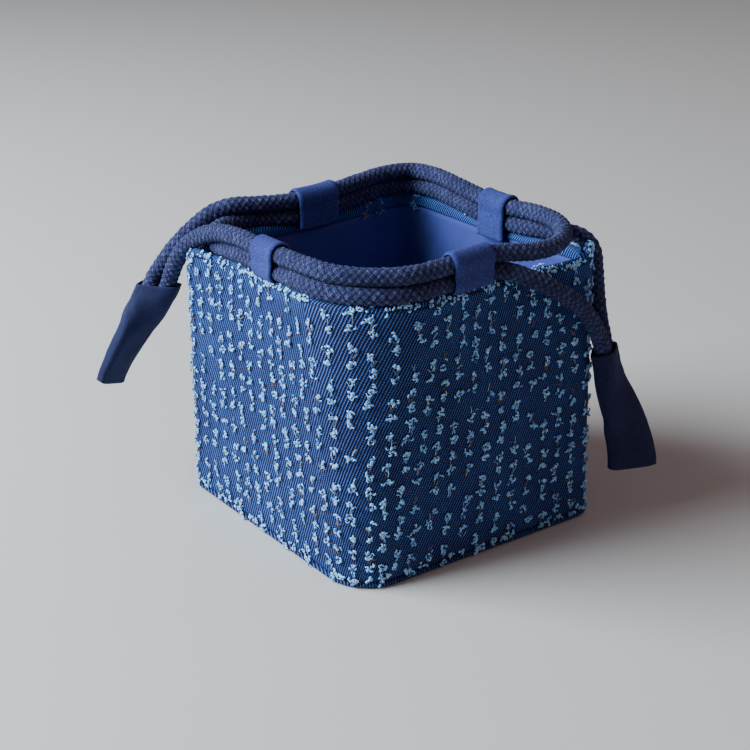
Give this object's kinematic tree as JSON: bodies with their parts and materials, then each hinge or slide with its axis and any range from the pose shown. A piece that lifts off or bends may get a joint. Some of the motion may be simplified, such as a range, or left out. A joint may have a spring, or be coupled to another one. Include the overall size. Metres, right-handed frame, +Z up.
{
  "type": "drawstring bag",
  "caption": "Small stiff square cloth drawstring bag for a tea bowl: tufted denim outside, cotton lining, rim tabs holding braided drawcords with cloth end covers",
  "frame": {"origin": "On the ground under the middle of the base, with the free cords and their covers left out", "axes": "+Z is up out of the mouth; X and Y run square to the four sides; the corner at -X -Y is the front one"},
  "size_m": [0.1356, 0.1304, 0.0984],
  "materials": {
    "denim": "matte twill with cut tufts",
    "lining_cotton": "matte plain weave",
    "tab_cotton": "matte plain weave",
    "cord_braid": "matte cotton braid",
    "cover_cotton": "matte plain weave"
  },
  "bodies": {
    "root": {"denim_wall": "denim", "denim_base": "denim", "lining_wall": "lining_cotton", "lining_base": "lining_cotton", "cord_tab_front_right": "tab_cotton", "cord_tab_back_right": "tab_cotton", "cord_tab_back_left": "tab_cotton", "cord_tab_front_left": "tab_cotton", "drawcord_left": "cord_braid", "drawcord_right": "cord_braid", "cord_cover_left": "cover_cotton", "cord_cover_right": "cover_cotton"}
  },
  "joints": []
}
